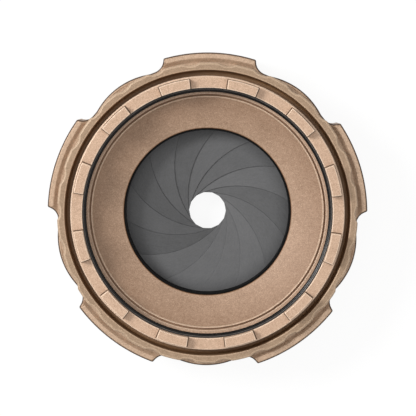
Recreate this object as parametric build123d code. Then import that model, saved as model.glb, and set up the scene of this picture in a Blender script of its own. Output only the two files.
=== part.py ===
from build123d import *
from math import asin, atan, atan2, cos, degrees, hypot, radians, sin
import os

os.makedirs("parts", exist_ok=True)

# Lengths are in millimetres and angles in degrees.
# +Z is the optical axis, pointing out of the barrel socket; Z = 0 is the ledge the barrel sits on.

# The barrel socket and the wall round it
barrel_radius = 20.0
socket_radius = 20.1
socket_depth = 1.6
ledge_inner = 19.5
relief_inner = 19.2
relief_depth = 0.35
opening_radius = 13.84
funnel_drop = 1.8
lip_thickness = 0.2
housing_outer = 22.5
chamber_radius = 20.9
neck_radius = 20.2
seal_seat_radius = 21.2
nut_thread_radius = 21.8
nut_thread_bottom = 1.2
housing_top = 2.8

# The barrel seal and its slotted lock nut
seal_section = 0.6
nut_bore = 20.5
nut_outer = 22.38
nut_slot_floor = 3.5
pad_top = 5.0
pad_outer = 22.25
pad_count = 12
pad_width_deg = 13.5
pad_clockwise = 15.6

# The fluted retaining ring above the grip ring
collar_outer = 23.9
collar_bottom = -0.6
moat_radius = 23.45
moat_floor = 0.9
rim_outer = 24.68
rim_bottom = 1.05
rim_top = 2.8
flute_count = 26
flute_depth = 0.41
flute_width_deg = 6.8
flute_clockwise = 7.5

# The grip ring
grip_bore = 22.58
grip_valley = 24.6
grip_top = 1.5
lug_radius = 26.3
lug_width_deg = 33.6
lug_count = 5
lug_clockwise = 0.85
lobe_peak = 25.27
lobe_curve = 12.0
lobe_fillet = 3.0
lug_fillet = 2.2
lug_corner = 0.3
counterbore_radius = 24.0
counterbore_floor = -1.2
relief_floor = 0.98
relief_outer = 25.45

# The leaves: crescents whose arc centres circle the optical axis
leaf_count = 14
leaf_inner = 15.4
leaf_width = 4.8
leaf_arc_deg = 142.0
leaf_tail_radius = 1.9
leaf_taper_deg = 95.0
leaf_thickness = 0.06
leaf_pitch = 0.09
first_pivot_deg = 80.85
pin_radius = 0.5
pin_clearance = 0.06
rest_aperture = 3.0
widest_aperture = 13.9
smallest_aperture = 2.0

# The carrier that holds the pivots, the cam ring and the front cover
carrier_bottom = -5.2
carrier_web = 1.0
carrier_bore = 13.52
carrier_tube = 1.1
running_gap = 0.05
cam_inner = 13.9
cam_thickness = 2.2
cover_thickness = 1.2
cover_flange = 24.1
cover_opening = 14.4

# Screws
drive_screw_radius = 0.5
drive_head_radius = 0.8
drive_head_height = 0.7
drive_screw_below_cam_top = 0.85
drive_screw_clockwise = 37.4
cover_screw_radius = 0.5
cover_head_radius = 1.0
cover_screw_circle = 21.7
cover_screw_depth = 3.4
cover_screw_offsets = (30, 84)

pivot_radius = leaf_inner + leaf_width / 2
leaf_outer = leaf_inner + leaf_width
tail_radius_from_arc = leaf_inner + leaf_tail_radius


def clockwise(angle):
    """The mathematical angle of a place given clockwise from +Y, seen from +Z."""
    return 90 - angle


def at(radius, angle, z=0.0):
    return Vector(radius * cos(radians(angle)), radius * sin(radians(angle)), z)


def tube(outer, inner, low, high):
    """A plain ring between two radii and two heights."""
    ring = Circle(outer) - Circle(inner)
    return extrude(Pos(0, 0, low) * ring, high - low)


def drum(radius, low, high):
    return extrude(Pos(0, 0, low) * Circle(radius), high - low)


def turned(points):
    """The solid swept by a closed outline of (radius, height) points round the optical axis."""
    outline = make_face(Polyline(*[(r, 0, z) for r, z in points], close=True))
    return revolve(outline, Axis.Z, 360)


def wedge(angle, width, reach=40.0):
    """A flat pie slice of the given angular width, centred on an angle."""
    half = radians(width / 2)
    corner = (reach * cos(half), reach * sin(half))
    slice_face = make_face(Polyline((0, 0), corner, (corner[0], -corner[1]), close=True))
    return Rot(0, 0, angle) * slice_face


def save(shape, node):
    item = shape.solid()
    item.label = node
    export_step(item, f"parts/{node}.step")


def save_many(solids, node):
    item = Compound(children=solids)
    item.label = node
    export_step(item, f"parts/{node}.step")


# ---- how far a leaf turns for a given opening ----

def leaf_turn(aperture):
    """The angle a leaf swings from the fully open, concentric place to leave this aperture radius."""
    return degrees(2 * asin((leaf_inner - aperture) / 2 / pivot_radius))


rest_turn = leaf_turn(rest_aperture)
open_turn = leaf_turn(widest_aperture)
closed_turn = leaf_turn(smallest_aperture)
ring_open = 2 * (open_turn - rest_turn)
ring_closed = 2 * (closed_turn - rest_turn)


def leaf_height(arc_angle):
    """How far a leaf lies below its head, by the angle along its arc.

    It falls fastest in the middle, where neighbouring leaves cross at the smallest difference of angle.
    """
    def fall(angle):
        return 0.01 * angle + 0.295 * 30 * atan((angle - 62) / 30)
    return -leaf_pitch * (fall(arc_angle) - fall(0))


head_top = carrier_bottom - running_gap - (leaf_height(-9) - leaf_height(0))
leaf_lowest = head_top + leaf_height(leaf_arc_deg + 8) - leaf_thickness
cam_top = leaf_lowest - running_gap
cam_bottom = cam_top - cam_thickness
cover_top = cam_bottom - running_gap
cover_bottom = cover_top - cover_thickness
grip_bottom = cover_top + running_gap
drive_height = cam_top - drive_screw_below_cam_top


# ---- housing ----

housing = turned([
    (housing_outer, housing_top),
    (nut_thread_radius, housing_top),
    (nut_thread_radius, nut_thread_bottom),
    (seal_seat_radius, nut_thread_bottom),
    (seal_seat_radius, socket_depth),
    (socket_radius, socket_depth),
    (socket_radius, 0),
    (ledge_inner, 0),
    (ledge_inner, -relief_depth),
    (relief_inner, -relief_depth),
    (relief_inner, 0),
    (opening_radius, -funnel_drop),
    (opening_radius, -funnel_drop - lip_thickness),
    (neck_radius, -funnel_drop - lip_thickness),
    (neck_radius, carrier_bottom + carrier_web),
    (chamber_radius, carrier_bottom + carrier_web),
    (chamber_radius, cover_top),
    (housing_outer, cover_top),
])


def arc_slot(angle_from, angle_to, height, half_height):
    """A slot through the housing wall with round ends, at one height."""
    middle, width = (angle_from + angle_to) / 2, angle_to - angle_from
    band = (Circle(housing_outer + 1) - Circle(chamber_radius - 1)) & wedge(middle, width)
    slot = extrude(Pos(0, 0, height - half_height) * band, 2 * half_height)
    for angle in (angle_from, angle_to):
        end = Pos(chamber_radius - 1, 0, height) * Rot(0, 90, 0) * Circle(half_height)
        slot += Rot(0, 0, angle) * extrude(end, housing_outer - chamber_radius + 2)
    return slot


drive_angle = clockwise(drive_screw_clockwise)
for turn in (0, 180):
    housing -= arc_slot(
        drive_angle + turn + ring_open - 0.5,
        drive_angle + turn + ring_closed + 0.5,
        drive_height,
        drive_screw_radius + 0.1,
    )

cover_screw_angles = [drive_angle + turn + a for turn in (0, 180) for a in cover_screw_offsets]
for angle in cover_screw_angles:
    place = at(cover_screw_circle, angle)
    housing -= Pos(place.X, place.Y) * drum(cover_screw_radius, cover_bottom, cover_bottom + cover_screw_depth)
save(housing, "housing")

# ---- barrel seal ----

seal_circle = barrel_radius - 0.05 + seal_section
barrel_seal = revolve(Pos(seal_circle, 0, socket_depth + seal_section) * Rot(90, 0, 0) * Circle(seal_section))
save(barrel_seal, "barrel_seal")

# ---- slotted lock nut ----

nut_underside = socket_depth + 2 * seal_section
nut_edge = 0.12
lock_nut = turned([
    (nut_bore, nut_underside),
    (seal_seat_radius + 0.05, nut_underside),
    (seal_seat_radius + 0.05, nut_thread_bottom + 0.1),
    (nut_thread_radius, nut_thread_bottom + 0.1),
    (nut_thread_radius, nut_underside),
    (nut_outer, nut_underside),
    (nut_outer, nut_slot_floor - nut_edge),
    (nut_outer - nut_edge, nut_slot_floor),
    (nut_bore + nut_edge, nut_slot_floor),
    (nut_bore, nut_slot_floor - nut_edge),
])
pad_ring = turned([
    (nut_bore, nut_underside + 0.1),
    (pad_outer, nut_underside + 0.1),
    (pad_outer, pad_top - nut_edge),
    (pad_outer - nut_edge, pad_top),
    (nut_bore + nut_edge, pad_top),
    (nut_bore, pad_top - nut_edge),
])
for n in range(pad_count):
    angle = clockwise(pad_clockwise + n * 360 / pad_count)
    lock_nut += pad_ring & extrude(wedge(angle, pad_width_deg), pad_top + 1)
save(lock_nut, "lock_nut")

# ---- fluted retaining ring ----

rim_edge = 0.15
rim_outer_edge = 0.3
retaining_ring = turned([
    (housing_outer, collar_bottom),
    (collar_outer, collar_bottom),
    (collar_outer, rim_bottom),
    (rim_outer, rim_bottom),
    (rim_outer, rim_top - rim_outer_edge),
    (rim_outer - rim_outer_edge, rim_top),
    (moat_radius + rim_edge, rim_top),
    (moat_radius, rim_top - rim_edge),
    (moat_radius, moat_floor),
    (housing_outer, moat_floor),
])
half_chord = rim_outer * sin(radians(flute_width_deg / 2))
flute_radius = (half_chord ** 2 + flute_depth ** 2) / (2 * flute_depth)
flute_circle = rim_outer - flute_depth + flute_radius
for n in range(flute_count):
    place = at(flute_circle, clockwise(flute_clockwise + n * 360 / flute_count))
    retaining_ring -= Pos(place.X, place.Y) * drum(flute_radius, rim_bottom - 1, rim_top + 1)
save(retaining_ring, "retaining_ring")

# ---- friction washer ----

save(tube(collar_outer - 0.1, grip_bore + 0.15, counterbore_floor + 0.03, collar_bottom), "friction_washer")

# ---- grip ring ----

lug_width = 2 * lug_radius * sin(radians(lug_width_deg / 2))
lug_block = Pos(lug_radius / 2 + 5, 0) * Rectangle(lug_radius + 10, lug_width)
grip_outline = Circle(grip_valley)
for n in range(lug_count):
    lug_angle = clockwise(lug_clockwise + n * 360 / lug_count)
    lobe_place = at(lobe_peak - lobe_curve, lug_angle - 180 / lug_count)
    grip_outline += Rot(0, 0, lug_angle) * (lug_block & Circle(lug_radius))
    grip_outline += Pos(lobe_place.X, lobe_place.Y) * Circle(lobe_curve)


def by_radius(low, high):
    return [v for v in grip_outline.vertices() if low < hypot(v.X, v.Y) < high]


def beside_lug(corner):
    """Whether a corner is where a lug's straight side meets the body, not where a lobe does."""
    pitch = 360 / lug_count
    angle = degrees(atan2(corner.Y, corner.X))
    off = (angle - clockwise(lug_clockwise) + pitch / 2) % pitch - pitch / 2
    return abs(off) < 20


lug_roots = [v for v in by_radius(grip_valley - 0.1, grip_valley + 0.1) if beside_lug(v)]
grip_outline = fillet(lug_roots, lug_fillet)
lobe_roots = [v for v in by_radius(grip_valley - 0.1, grip_valley + 0.1) if not beside_lug(v)]
grip_outline = fillet(lobe_roots, lobe_fillet)
lug_corners = by_radius(lug_radius - 0.1, lug_radius + 0.1)
grip_outline = fillet(lug_corners, lug_corner)
grip_ring = extrude(Pos(0, 0, grip_bottom) * grip_outline, grip_top - grip_bottom)
levels = grip_ring.edges().group_by(Axis.Z)
grip_ring = chamfer(levels[0] + levels[-1], 0.25)
grip_ring -= drum(grip_bore, grip_bottom - 1, grip_top + 1)
grip_ring -= drum(counterbore_radius, counterbore_floor, grip_top + 1)
grip_ring -= turned([
    (counterbore_radius - 0.5, relief_floor),
    (rim_outer + 0.1, relief_floor),
    (relief_outer, grip_top),
    (relief_outer, grip_top + 1),
    (counterbore_radius - 0.5, grip_top + 1),
])


def drive_screw(head_top_radius):
    """A cheese-head screw along +X whose head ends at this radius."""
    shank_end = chamber_radius - 1.6
    head_seat = head_top_radius - drive_head_height
    shank = Pos(shank_end, 0, drive_height) * Rot(0, 90, 0) * Circle(drive_screw_radius)
    head = Pos(head_seat, 0, drive_height) * Rot(0, 90, 0) * Circle(drive_head_radius)
    screw = extrude(shank, head_seat - shank_end) + extrude(head, drive_head_height)
    slot = Pos(head_top_radius, 0, drive_height) * Box(0.5, 0.3, 4)
    return screw - slot


drive_screws = []
for turn in (0, 180):
    angle = drive_angle + turn
    clear = Pos(chamber_radius, 0, drive_height) * Rot(0, 90, 0)
    seat = Pos(grip_valley - 0.1 - drive_head_height, 0, drive_height) * Rot(0, 90, 0)
    grip_ring -= Rot(0, 0, angle) * extrude(clear * Circle(drive_screw_radius), 8)
    grip_ring -= Rot(0, 0, angle) * extrude(seat * Circle(drive_head_radius + 0.05), 4)
    drive_screws.append((Rot(0, 0, angle) * drive_screw(grip_valley - 0.1)).solid())
save(grip_ring, "grip_ring")
save_many(drive_screws, "drive_screws")

# ---- leaf carrier ----

carrier_top = -funnel_drop - lip_thickness
leaf_carrier = turned([
    (carrier_bore, carrier_bottom),
    (chamber_radius, carrier_bottom),
    (chamber_radius, carrier_bottom + carrier_web),
    (carrier_bore + carrier_tube, carrier_bottom + carrier_web),
    (carrier_bore + carrier_tube, carrier_top),
    (carrier_bore, carrier_top),
])
pivot_angles = [first_pivot_deg + n * 360 / leaf_count for n in range(leaf_count)]
for angle in pivot_angles:
    place = at(pivot_radius, angle)
    leaf_carrier -= Pos(place.X, place.Y) * drum(pin_radius + pin_clearance, carrier_bottom - 1, carrier_top)
save(leaf_carrier, "leaf_carrier")

# ---- leaves ----

def arc_edge(radius, count=25):
    """The curve a leaf follows at one radius from its own arc centre."""
    span = leaf_arc_deg + 24
    angles = [-12 + span * n / (count - 1) for n in range(count)]
    return Spline(*[at(radius, a, head_top + leaf_height(a)) for a in angles])


sheet = Face.make_surface_from_curves(arc_edge(leaf_inner - 0.6).edge(), arc_edge(leaf_outer + 0.6).edge())
slab = Solid.extrude(sheet, Vector(0, 0, -leaf_thickness))

head_inner, head_outer = at(leaf_inner, 0), at(leaf_outer, 0)
tail_outer_radius = tail_radius_from_arc + leaf_tail_radius
taper_middle = (leaf_taper_deg + leaf_arc_deg) / 2
tail_middle = at(tail_radius_from_arc, leaf_arc_deg) + at(leaf_tail_radius, leaf_arc_deg + 90)
leaf_outline = make_face([
    ThreePointArc(head_outer, at(leaf_outer, leaf_taper_deg / 2), at(leaf_outer, leaf_taper_deg)),
    ThreePointArc(
        at(leaf_outer, leaf_taper_deg),
        at((leaf_outer + tail_outer_radius) / 2, taper_middle),
        at(tail_outer_radius, leaf_arc_deg),
    ),
    ThreePointArc(at(tail_outer_radius, leaf_arc_deg), tail_middle, at(leaf_inner, leaf_arc_deg)),
    ThreePointArc(at(leaf_inner, leaf_arc_deg), at(leaf_inner, leaf_arc_deg / 2), head_inner),
    ThreePointArc(head_inner, at(pivot_radius, 0) + Vector(0, -leaf_width / 2, 0), head_outer),
])
cutter = extrude(Pos(0, 0, head_top - 4) * leaf_outline, 8)
leaf = (slab & cutter).solid()

tail_pin_place = at(tail_radius_from_arc, leaf_arc_deg)
through = extrude(Pos(0, 0, head_top - 4) * Circle(pin_radius), 8)
leaf -= Pos(pivot_radius, 0) * through
leaf -= Pos(tail_pin_place.X, tail_pin_place.Y) * through

pivot_pin = Pos(pivot_radius, 0) * drum(
    pin_radius, head_top - leaf_thickness * 0.8, carrier_bottom + carrier_web - 0.1
)
tail_pin_top = head_top + leaf_height(leaf_arc_deg) - leaf_thickness * 0.2
tail_pin = Pos(tail_pin_place.X, tail_pin_place.Y) * drum(pin_radius, cam_bottom + 0.1, tail_pin_top)

swing = Pos(pivot_radius, 0) * Rot(0, 0, rest_turn) * Pos(-pivot_radius, 0)
for n, angle in enumerate(pivot_angles):
    place = Rot(0, 0, angle) * swing
    save((place * leaf).solid(), f"leaf_{n + 1:02d}")
    save_many([(place * pivot_pin).solid(), (place * tail_pin).solid()], f"leaf_{n + 1:02d}_pins")

# ---- cam ring ----

def tail_pin_in_cam(turn_from_rest):
    """Where a tail pin is in the cam ring's own frame when its leaf has turned by this angle."""
    swing_angle = radians(rest_turn + turn_from_rest)
    arm = tail_pin_place - at(pivot_radius, 0)
    x = pivot_radius + arm.X * cos(swing_angle) - arm.Y * sin(swing_angle)
    y = arm.X * sin(swing_angle) + arm.Y * cos(swing_angle)
    back = radians(-2 * turn_from_rest)
    return Vector(x * cos(back) - y * sin(back), x * sin(back) + y * cos(back))


slot_steps = 12
slot_turns = [
    open_turn - rest_turn + (closed_turn - open_turn) * n / slot_steps for n in range(slot_steps + 1)
]
slot_points = [tail_pin_in_cam(t) for t in slot_turns]
slot_half_width = pin_radius + pin_clearance
cam_slot = trace(Spline(*slot_points), 2 * slot_half_width)
for end in (slot_points[0], slot_points[-1]):
    cam_slot += Pos(end.X, end.Y) * Circle(slot_half_width)

cam_outer = chamber_radius - running_gap
cam_ring = tube(cam_outer, cam_inner, cam_bottom, cam_top)
slot_cut = extrude(Pos(0, 0, cam_bottom - 1) * cam_slot, cam_thickness + 2)
for angle in pivot_angles:
    cam_ring -= Rot(0, 0, angle) * slot_cut
for turn in (0, 180):
    hole = Pos(chamber_radius - 1.6, 0, drive_height) * Rot(0, 90, 0) * Circle(drive_screw_radius)
    cam_ring -= Rot(0, 0, drive_angle + turn) * extrude(hole, 3)
save(cam_ring, "cam_ring")

# ---- front cover ----

cover_edge = 0.4
front_cover = turned([
    (cover_opening, cover_top),
    (cover_flange, cover_top),
    (cover_flange, cover_bottom + cover_edge),
    (cover_flange - cover_edge, cover_bottom),
    (cover_opening + 2 * cover_edge, cover_bottom),
    (cover_opening, cover_bottom + 2 * cover_edge),
])
cover_screws = []
for angle in cover_screw_angles:
    place = at(cover_screw_circle, angle)
    head = Cone(cover_head_radius, cover_screw_radius, 0.5, align=(Align.CENTER, Align.CENTER, Align.MIN))
    head = Pos(place.X, place.Y, cover_bottom) * head
    shank = Pos(place.X, place.Y) * drum(cover_screw_radius, cover_bottom + 0.3, cover_bottom + cover_screw_depth)
    slot = Pos(place.X, place.Y, cover_bottom) * Rot(0, 0, angle + 45) * Box(3, 0.3, 0.4)
    front_cover -= head
    front_cover -= Pos(place.X, place.Y) * drum(cover_screw_radius, cover_bottom, cover_top + 1)
    cover_screws.append((head + shank - slot).solid())
save(front_cover, "front_cover")
save_many(cover_screws, "cover_screws")

print("ring from rest:", round(ring_open, 2), "to", round(ring_closed, 2))
print("head", round(head_top, 3), "leaf lowest", round(leaf_lowest, 3), "cam", round(cam_top, 3), round(cam_bottom, 3))
print("cover", round(cover_top, 3), round(cover_bottom, 3))
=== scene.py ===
import math

import bmesh
import bpy
import numpy as np
from mathutils import Matrix, Vector


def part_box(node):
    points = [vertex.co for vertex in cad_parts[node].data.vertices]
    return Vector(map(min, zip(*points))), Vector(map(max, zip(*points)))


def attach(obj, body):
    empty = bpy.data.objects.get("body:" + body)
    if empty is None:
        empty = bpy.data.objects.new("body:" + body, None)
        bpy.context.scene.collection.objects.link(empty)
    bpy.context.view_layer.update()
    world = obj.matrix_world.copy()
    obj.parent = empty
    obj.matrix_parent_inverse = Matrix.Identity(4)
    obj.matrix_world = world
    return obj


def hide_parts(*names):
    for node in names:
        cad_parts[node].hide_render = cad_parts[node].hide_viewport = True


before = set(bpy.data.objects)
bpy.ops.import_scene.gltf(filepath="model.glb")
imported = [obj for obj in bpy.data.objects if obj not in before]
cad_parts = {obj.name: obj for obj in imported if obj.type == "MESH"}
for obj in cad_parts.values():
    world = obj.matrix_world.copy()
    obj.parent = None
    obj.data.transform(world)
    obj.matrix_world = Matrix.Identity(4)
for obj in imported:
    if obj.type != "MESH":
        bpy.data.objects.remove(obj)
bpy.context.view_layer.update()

# Housing: the turned aluminium body that all else is fixed to, anodised in a fine sandy tan. A
# lens barrel sits in its socket and on its ledge. A shallow funnel leads to the clear opening,
# and a deep skirt goes round the leaves, with two long slots for the drive screws.

MM = 0.001
SOCKET_RADIUS = 20.1
SOCKET_WALL_TOP = 1.6
SEAT_RADIUS = 21.2
SEAT_FLOOR = 1.2
THREAD_RADIUS = 21.8
THREAD_TOP = 2.8
BODY_RADIUS = 22.5
LEDGE_INNER = 19.5
GROOVE_FLOOR = -0.35
FUNNEL_OUTER = 19.2
FUNNEL_FLOOR = -1.8
BEAD_FLAT = 0.14
BEAD_WIDTH = 0.28
BEAD_DROP = 0.22
OPENING_RADIUS = 13.84
LIP_HEIGHT = 0.2
LIP_ROUNDING = 0.22
CARRIER_SEAT = 20.2
CHAMBER_RADIUS = 20.9
CHAMBER_CEILING = -4.2
BODY_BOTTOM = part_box("housing")[0].z / MM
DRIVE_HEIGHT = (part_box("drive_screws")[0].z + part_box("drive_screws")[1].z) / 2 / MM
DRIVE_ANGLE = 90 - 37.4
SLOT_ANGLES = (-72.4, 7.4)
SLOT_HALF_HEIGHT = 0.6
SLOT_CUT_RADII = (19.9, 23.5)
SLOT_MIDDLE_RADIUS = 21.7
SLOT_SLIVER = 2e-6
# Painted values on the housing's section: the ledge is painted paler, a painted sheen with rubbed wear;
# the bead gets a painted highlight with its wear; the groove, the bead's foot and the lip's rounded edge
# are painted darker, painted shade.
LEDGE_PAINTED_SHEEN_AND_WEAR = 0.45
GROOVE_PAINTED_SHADE = -0.9
BEAD_PAINTED_HIGHLIGHT_AND_WEAR = 1.0
BEAD_FOOT_PAINTED_SHADE = -0.4
LIP_PAINTED_SHADE = -1.2


def rounded(corners, steps=5, support=0.06):
    """A closed outline in (radius, height) with each corner swapped for an arc.

    corners are (radius, height, rounding). Each arc is tangent to both sides of its corner, and its
    points are centre + (start sin((1 - t) A) + end sin(t A)) / sin A, for t from 0 to 1 and a turn A.
    A point is kept just outside each end of an arc, so that the flats between shade flat.
    Returns rows of (radius, height, wear and painted light): 1 on an outer corner, painted paler
    for rubbed wear and a painted highlight, and -1 in an inner one, painted shade.
    """
    flat = np.array([c[:2] for c in corners], float)
    area = np.sum(flat[:, 0] * np.roll(flat[:, 1], -1) - flat[:, 1] * np.roll(flat[:, 0], -1))
    rows = []
    for n, (radius, height, rounding) in enumerate(corners):
        here = np.array([radius, height])
        back, on = flat[n - 1] - here, flat[(n + 1) % len(corners)] - here
        back_length, on_length = np.hypot(*back), np.hypot(*on)
        back, on = back / back_length, on / on_length
        between = math.acos(np.clip(back @ on, -1, 1))
        cut = min(rounding / math.tan(between / 2), 0.45 * back_length, 0.45 * on_length)
        centre = here + (back + on) / np.hypot(*(back + on)) * cut / math.cos(between / 2)
        start, end = here + back * cut - centre, here + on * cut - centre
        turn = math.pi - between
        t = np.linspace(0, 1, steps + 1)[:, None]
        arc = centre + (start * np.sin((1 - t) * turn) + end * np.sin(t * turn)) / math.sin(turn)
        # An outer corner is painted paler, rubbed wear and a painted highlight; an inner one darker,
        # painted shade.
        outer = 1.0 if (back[0] * on[1] - back[1] * on[0]) * area < 0 else -1.0
        before = here + back * (cut + min(support, 0.1 * back_length))
        after = here + on * (cut + min(support, 0.1 * on_length))
        rows.append([*before, 0.0])
        rows.extend([*point, outer] for point in arc)
        rows.append([*after, 0.0])
    return np.array(rows)


def turned(rows, angles, edge=None):
    """The grid of a profile carried round the optical axis: (r cos a, r sin a, z) at every angle a.

    edge, where given, is (weight, change): each radius moves by its row's weight times the change
    at the angle.
    """
    radius = rows[:, 0][:, None] + np.zeros(len(angles))[None, :]
    if edge is not None:
        weight, change = edge
        radius = radius + weight[:, None] * change[None, :]
    height = rows[:, 1][:, None] + np.zeros(len(angles))[None, :]
    return np.stack([radius * np.cos(angles), radius * np.sin(angles), height], axis=-1)


def closed_surface(name, grid, wear_and_painted_light, open_ends=False):
    """A mesh object from a grid of points in millimetres, closed along its rows and, unless its
    ends are poles, along its columns: quad (i, j) joins rows i, i + 1 and columns j, j + 1.
    wear_and_painted_light is 1 where the piece is painted paler, for rubbed wear and for painted
    highlights, sheen and reflections, and -1 where it is painted darker, painted shade."""
    rows, columns = grid.shape[:2]
    last = columns - 1 if open_ends else columns
    i = np.arange(rows)[:, None]
    j = np.arange(last)[None, :]
    here = i * columns + j
    above = (i + 1) % rows * columns + j
    beside = i * columns + (j + 1) % columns
    across = (i + 1) % rows * columns + (j + 1) % columns
    quads = np.stack([here, beside, across, above], axis=-1).reshape(-1, 4)
    mesh = bpy.data.meshes.new(name)
    mesh.from_pydata(grid.reshape(-1, 3) * MM, [], quads.tolist())
    layer = mesh.attributes.new("wear_and_painted_light", "FLOAT", "POINT")
    layer.data.foreach_set("value", np.broadcast_to(wear_and_painted_light, grid.shape[:2]).ravel().astype(np.float32))
    work = bmesh.new()
    work.from_mesh(mesh)
    if open_ends:
        bmesh.ops.remove_doubles(work, verts=work.verts, dist=1e-8)
    bmesh.ops.recalc_face_normals(work, faces=work.faces)
    for face in work.faces:
        face.smooth = True
    work.to_mesh(mesh)
    work.free()
    made = bpy.data.objects.new(name, mesh)
    bpy.context.scene.collection.objects.link(made)
    return made


def cut_away(body, cutter, sliver):
    """Takes one closed mesh out of another with an exact Boolean, and keeps the result, with the
    corners that lie closer together than sliver, in metres, made one."""
    tool = body.modifiers.new("cut", "BOOLEAN")
    tool.operation = "DIFFERENCE"
    tool.solver = "EXACT"
    tool.object = cutter
    result = bpy.data.meshes.new_from_object(body.evaluated_get(bpy.context.evaluated_depsgraph_get()))
    body.modifiers.clear()
    body.data = result
    work = bmesh.new()
    work.from_mesh(result)
    bmesh.ops.remove_doubles(work, verts=work.verts, dist=sliver)
    bmesh.ops.dissolve_degenerate(work, dist=sliver, edges=work.edges)
    bmesh.ops.triangulate(work, faces=[face for face in work.faces if len(face.verts) > 4])
    work.to_mesh(result)
    work.free()
    body.data.set_sharp_from_angle(angle=math.radians(50))
    bpy.data.objects.remove(cutter)


class Value:
    """A shader socket that takes part in sums: each operator adds the Math node for it."""

    def __init__(self, finish, socket):
        self.finish = finish
        self.socket = socket

    def maths(self, operation, *values):
        node = self.finish.node("ShaderNodeMath", {"operation": operation}, dict(enumerate(values)))
        return Value(self.finish, node.outputs[0])

    def __add__(self, other):
        return self.maths("ADD", self, other)

    def __radd__(self, other):
        return self.maths("ADD", other, self)

    def __sub__(self, other):
        return self.maths("SUBTRACT", self, other)

    def __rsub__(self, other):
        return self.maths("SUBTRACT", other, self)

    def __mul__(self, other):
        return self.maths("MULTIPLY", self, other)

    def __rmul__(self, other):
        return self.maths("MULTIPLY", other, self)

    def root(self):
        return self.maths("SQRT", self)

    def clamped(self):
        return self.maths("MINIMUM", self.maths("MAXIMUM", self, 0.0), 1.0)

    def band(self, low, high):
        """0 below low, 1 above high, and a straight ramp between."""
        return ((self - low) * (1 / (high - low))).clamped()


class Finish:
    """One procedural material, or the world. node() adds any node, with its values and links."""

    def __init__(self, name, world=None):
        self.owner = world or bpy.data.materials.new(name)
        self.owner.use_nodes = True
        self.tree = self.owner.node_tree
        self.tree.nodes.clear()

    def node(self, kind, settings=None, sockets=None):
        made = self.tree.nodes.new(kind)
        for key, value in (settings or {}).items():
            setattr(made, key, value)
        for key, value in (sockets or {}).items():
            if isinstance(value, Value):
                value = value.socket
            if isinstance(value, bpy.types.NodeSocket):
                self.tree.links.new(value, made.inputs[key])
            else:
                made.inputs[key].default_value = value
        return made

    def place(self):
        """The point on the object, in millimetres."""
        where = self.node("ShaderNodeTexCoord").outputs["Object"]
        scaled = self.node("ShaderNodeVectorMath", {"operation": "SCALE"}, {0: where, "Scale": 1 / MM})
        return scaled.outputs[0]

    def noise(self, place, scale, detail=2.0, roughness=0.5):
        made = self.node(
            "ShaderNodeTexNoise",
            {},
            {"Vector": place, "Scale": scale, "Detail": detail, "Roughness": roughness},
        )
        return Value(self, made.outputs[0])

    def attribute(self, name):
        made = self.node("ShaderNodeAttribute", {"attribute_name": name})
        return Value(self, made.outputs["Fac"])

    def mix(self, factor, first, second):
        """The colour between two colours, by a factor from 0 to 1."""
        made = self.node(
            "ShaderNodeMix",
            {"data_type": "RGBA"},
            {"Factor": factor, 6: first, 7: second},
        )
        return made.outputs[2]

    def bump(self, height, strength, distance):
        made = self.node(
            "ShaderNodeBump", {}, {"Height": height, "Strength": strength, "Distance": distance}
        )
        return made.outputs[0]

    def shown(self, shader):
        """Sends a shader to the output and returns the material or the world."""
        kind = "World" if isinstance(self.owner, bpy.types.World) else "Material"
        self.node("ShaderNodeOutput" + kind, {}, {"Surface": shader.outputs[0]})
        return self.owner

    def surface(self, sockets):
        return self.shown(self.node("ShaderNodeBsdfPrincipled", {}, sockets))


def linear(red, green, blue):
    """A colour given as it looks on a screen, 0 to 255, as the light value a shader takes."""
    parts = [c / 255 for c in (red, green, blue)]
    return tuple(p / 12.92 if p <= 0.04045 else ((p + 0.055) / 1.055) ** 2.4 for p in parts) + (1.0,)


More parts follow.
